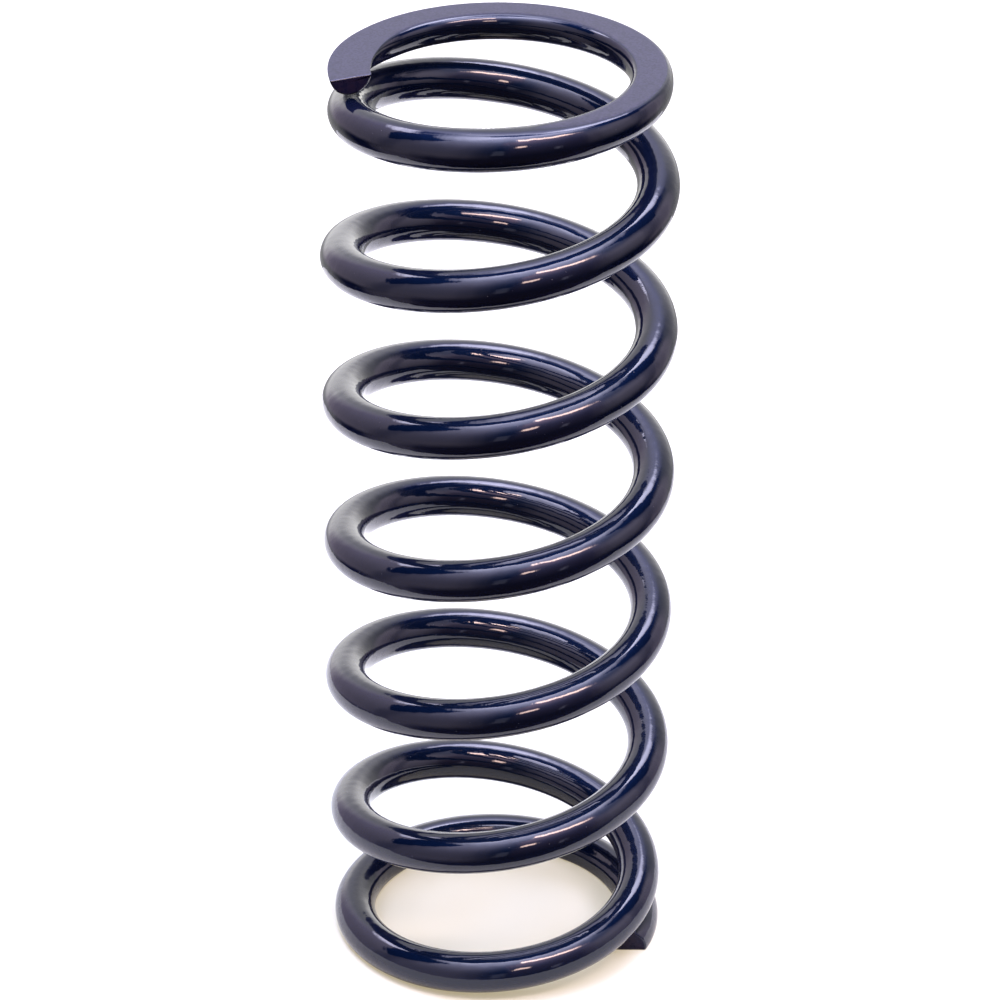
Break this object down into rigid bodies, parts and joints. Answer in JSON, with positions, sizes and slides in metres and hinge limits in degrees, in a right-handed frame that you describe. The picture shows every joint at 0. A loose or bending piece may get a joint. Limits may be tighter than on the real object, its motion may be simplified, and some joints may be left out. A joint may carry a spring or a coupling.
{
  "type": "coil spring",
  "caption": "Coil-over compression spring: one round wire wound right-handed, open active coils between closed end coils with flat ground faces, glossy navy powder coat.",
  "frame": {"origin": "on the spring's axis, at the lower ground face", "axes": "+Z along the spring's axis to the upper ground face; the lower wire tip points 27 degrees from +X towards -Y"},
  "size_m": [0.0834, 0.0834, 0.2286],
  "materials": {
    "powder_coat": "glossy navy powder coat over steel wire, also over the ground faces, where it is a little duller"
  },
  "bodies": {
    "lower_end_coil": {"lower_end_coil": "powder_coat"},
    "coil_1_right": {"coil_1_right": "powder_coat"},
    "coil_1_back": {"coil_1_back": "powder_coat"},
    "coil_1_left": {"coil_1_left": "powder_coat"},
    "coil_1_front": {"coil_1_front": "powder_coat"},
    "coil_2_right": {"coil_2_right": "powder_coat"},
    "coil_2_back": {"coil_2_back": "powder_coat"},
    "coil_2_left": {"coil_2_left": "powder_coat"},
    "coil_2_front": {"coil_2_front": "powder_coat"},
    "coil_3_right": {"coil_3_right": "powder_coat"},
    "coil_3_back": {"coil_3_back": "powder_coat"},
    "coil_3_left": {"coil_3_left": "powder_coat"},
    "coil_3_front": {"coil_3_front": "powder_coat"},
    "coil_4_right": {"coil_4_right": "powder_coat"},
    "coil_4_back": {"coil_4_back": "powder_coat"},
    "coil_4_left": {"coil_4_left": "powder_coat"},
    "coil_4_front": {"coil_4_front": "powder_coat"},
    "coil_5_right": {"coil_5_right": "powder_coat"},
    "coil_5_back": {"coil_5_back": "powder_coat"},
    "coil_5_left": {"coil_5_left": "powder_coat"},
    "coil_5_front": {"coil_5_front": "powder_coat"},
    "coil_6_right": {"coil_6_right": "powder_coat"},
    "coil_6_back": {"coil_6_back": "powder_coat"},
    "upper_end_coil": {"upper_end_coil": "powder_coat"}
  },
  "joints": [
    {"name": "twist_01_coil_1_right", "type": "hinge", "parent": "lower_end_coil", "child": "coil_1_right", "pos_m": [0.02482, -0.02482, 0.00961], "axis": [-0.7071, -0.7071, 0], "range_deg": [0, 2.44], "stiffness_Nm_per_rad": 50},
    {"name": "twist_02_coil_1_back", "type": "hinge", "parent": "coil_1_right", "child": "coil_1_back", "pos_m": [0.02487, 0.02487, 0.01829], "axis": [0.7071, -0.7071, 0], "range_deg": [0, 6.92], "stiffness_Nm_per_rad": 50},
    {"name": "twist_03_coil_1_left", "type": "hinge", "parent": "coil_1_back", "child": "coil_1_left", "pos_m": [-0.02515, 0.02515, 0.02761], "axis": [0.7071, 0.7071, 0], "range_deg": [0, 8.13], "stiffness_Nm_per_rad": 50},
    {"name": "twist_04_coil_1_front", "type": "hinge", "parent": "coil_1_left", "child": "coil_1_front", "pos_m": [-0.02552, -0.02552, 0.03693], "axis": [-0.7071, 0.7071, 0], "range_deg": [0, 8.57], "stiffness_Nm_per_rad": 50},
    {"name": "twist_05_coil_2_right", "type": "hinge", "parent": "coil_1_front", "child": "coil_2_right", "pos_m": [0.02584, -0.02584, 0.04626], "axis": [-0.7071, -0.7071, 0], "range_deg": [0, 7.55], "stiffness_Nm_per_rad": 50},
    {"name": "twist_06_coil_2_back", "type": "hinge", "parent": "coil_2_right", "child": "coil_2_back", "pos_m": [0.02595, 0.02595, 0.05558], "axis": [0.7071, -0.7071, 0], "range_deg": [0, 6.99], "stiffness_Nm_per_rad": 50},
    {"name": "twist_07_coil_2_left", "type": "hinge", "parent": "coil_2_back", "child": "coil_2_left", "pos_m": [-0.02595, 0.02595, 0.06491], "axis": [0.7071, 0.7071, 0], "range_deg": [0, 7.79], "stiffness_Nm_per_rad": 50},
    {"name": "twist_08_coil_2_front", "type": "hinge", "parent": "coil_2_left", "child": "coil_2_front", "pos_m": [-0.02595, -0.02595, 0.07423], "axis": [-0.7071, 0.7071, 0], "range_deg": [0, 8.51], "stiffness_Nm_per_rad": 50},
    {"name": "twist_09_coil_3_right", "type": "hinge", "parent": "coil_2_front", "child": "coil_3_right", "pos_m": [0.02595, -0.02595, 0.08356], "axis": [-0.7071, -0.7071, 0], "range_deg": [0, 7.9], "stiffness_Nm_per_rad": 50},
    {"name": "twist_10_coil_3_back", "type": "hinge", "parent": "coil_3_right", "child": "coil_3_back", "pos_m": [0.02595, 0.02595, 0.09288], "axis": [0.7071, -0.7071, 0], "range_deg": [0, 7.04], "stiffness_Nm_per_rad": 50},
    {"name": "twist_11_coil_3_left", "type": "hinge", "parent": "coil_3_back", "child": "coil_3_left", "pos_m": [-0.02595, 0.02595, 0.10221], "axis": [0.7071, 0.7071, 0], "range_deg": [0, 7.44], "stiffness_Nm_per_rad": 50},
    {"name": "twist_12_coil_3_front", "type": "hinge", "parent": "coil_3_left", "child": "coil_3_front", "pos_m": [-0.02595, -0.02595, 0.11153], "axis": [-0.7071, 0.7071, 0], "range_deg": [0, 8.46], "stiffness_Nm_per_rad": 50},
    {"name": "twist_13_coil_4_right", "type": "hinge", "parent": "coil_3_front", "child": "coil_4_right", "pos_m": [0.02595, -0.02595, 0.12086], "axis": [-0.7071, -0.7071, 0], "range_deg": [0, 8.25], "stiffness_Nm_per_rad": 50},
    {"name": "twist_14_coil_4_back", "type": "hinge", "parent": "coil_4_right", "child": "coil_4_back", "pos_m": [0.02595, 0.02595, 0.13018], "axis": [0.7071, -0.7071, 0], "range_deg": [0, 7.09], "stiffness_Nm_per_rad": 50},
    {"name": "twist_15_coil_4_left", "type": "hinge", "parent": "coil_4_back", "child": "coil_4_left", "pos_m": [-0.02595, 0.02595, 0.13951], "axis": [0.7071, 0.7071, 0], "range_deg": [0, 7.11], "stiffness_Nm_per_rad": 50},
    {"name": "twist_16_coil_4_front", "type": "hinge", "parent": "coil_4_left", "child": "coil_4_front", "pos_m": [-0.02595, -0.02595, 0.14883], "axis": [-0.7071, 0.7071, 0], "range_deg": [0, 8.44], "stiffness_Nm_per_rad": 50},
    {"name": "twist_17_coil_5_right", "type": "hinge", "parent": "coil_4_front", "child": "coil_5_right", "pos_m": [0.02595, -0.02595, 0.15816], "axis": [-0.7071, -0.7071, 0], "range_deg": [0, 8.61], "stiffness_Nm_per_rad": 50},
    {"name": "twist_18_coil_5_back", "type": "hinge", "parent": "coil_5_right", "child": "coil_5_back", "pos_m": [0.02595, 0.02595, 0.16748], "axis": [0.7071, -0.7071, 0], "range_deg": [0, 7.14], "stiffness_Nm_per_rad": 50},
    {"name": "twist_19_coil_5_left", "type": "hinge", "parent": "coil_5_back", "child": "coil_5_left", "pos_m": [-0.02595, 0.02595, 0.17681], "axis": [0.7071, 0.7071, 0], "range_deg": [0, 6.78], "stiffness_Nm_per_rad": 50},
    {"name": "twist_20_coil_5_front", "type": "hinge", "parent": "coil_5_left", "child": "coil_5_front", "pos_m": [-0.02595, -0.02595, 0.18613], "axis": [-0.7071, 0.7071, 0], "range_deg": [0, 8.44], "stiffness_Nm_per_rad": 50},
    {"name": "twist_21_coil_6_right", "type": "hinge", "parent": "coil_5_front", "child": "coil_6_right", "pos_m": [0.02594, -0.02594, 0.19546], "axis": [-0.7071, -0.7071, 0], "range_deg": [0, 8.96], "stiffness_Nm_per_rad": 50},
    {"name": "twist_22_coil_6_back", "type": "hinge", "parent": "coil_6_right", "child": "coil_6_back", "pos_m": [0.02545, 0.02545, 0.20478], "axis": [0.7071, -0.7071, 0], "range_deg": [0, 7.17], "stiffness_Nm_per_rad": 50},
    {"name": "twist_23_upper_end_coil", "type": "hinge", "parent": "coil_6_back", "child": "upper_end_coil", "pos_m": [-0.02473, 0.02473, 0.214], "axis": [0.7071, 0.7071, 0], "range_deg": [0, 6.46], "stiffness_Nm_per_rad": 50}
  ],
  "couplings": [
    {"joint": "twist_01_coil_1_right", "follows": "twist_21_coil_6_right", "ratio": 0.2719},
    {"joint": "twist_02_coil_1_back", "follows": "twist_21_coil_6_right", "ratio": 0.7711},
    {"joint": "twist_03_coil_1_left", "follows": "twist_21_coil_6_right", "ratio": 0.9059},
    {"joint": "twist_04_coil_1_front", "follows": "twist_21_coil_6_right", "ratio": 0.9541},
    {"joint": "twist_05_coil_2_right", "follows": "twist_21_coil_6_right", "ratio": 0.8413},
    {"joint": "twist_06_coil_2_back", "follows": "twist_21_coil_6_right", "ratio": 0.7785},
    {"joint": "twist_07_coil_2_left", "follows": "twist_21_coil_6_right", "ratio": 0.8672},
    {"joint": "twist_08_coil_2_front", "follows": "twist_21_coil_6_right", "ratio": 0.9474},
    {"joint": "twist_09_coil_3_right", "follows": "twist_21_coil_6_right", "ratio": 0.8796},
    {"joint": "twist_10_coil_3_back", "follows": "twist_21_coil_6_right", "ratio": 0.784},
    {"joint": "twist_11_coil_3_left", "follows": "twist_21_coil_6_right", "ratio": 0.8287},
    {"joint": "twist_12_coil_3_front", "follows": "twist_21_coil_6_right", "ratio": 0.9426},
    {"joint": "twist_13_coil_4_right", "follows": "twist_21_coil_6_right", "ratio": 0.9189},
    {"joint": "twist_14_coil_4_back", "follows": "twist_21_coil_6_right", "ratio": 0.7894},
    {"joint": "twist_15_coil_4_left", "follows": "twist_21_coil_6_right", "ratio": 0.7913},
    {"joint": "twist_16_coil_4_front", "follows": "twist_21_coil_6_right", "ratio": 0.94},
    {"joint": "twist_17_coil_5_right", "follows": "twist_21_coil_6_right", "ratio": 0.9592},
    {"joint": "twist_18_coil_5_back", "follows": "twist_21_coil_6_right", "ratio": 0.7947},
    {"joint": "twist_19_coil_5_left", "follows": "twist_21_coil_6_right", "ratio": 0.7553},
    {"joint": "twist_20_coil_5_front", "follows": "twist_21_coil_6_right", "ratio": 0.9397},
    {"joint": "twist_22_coil_6_back", "follows": "twist_21_coil_6_right", "ratio": 0.7989},
    {"joint": "twist_23_upper_end_coil", "follows": "twist_21_coil_6_right", "ratio": 0.7188}
  ]
}
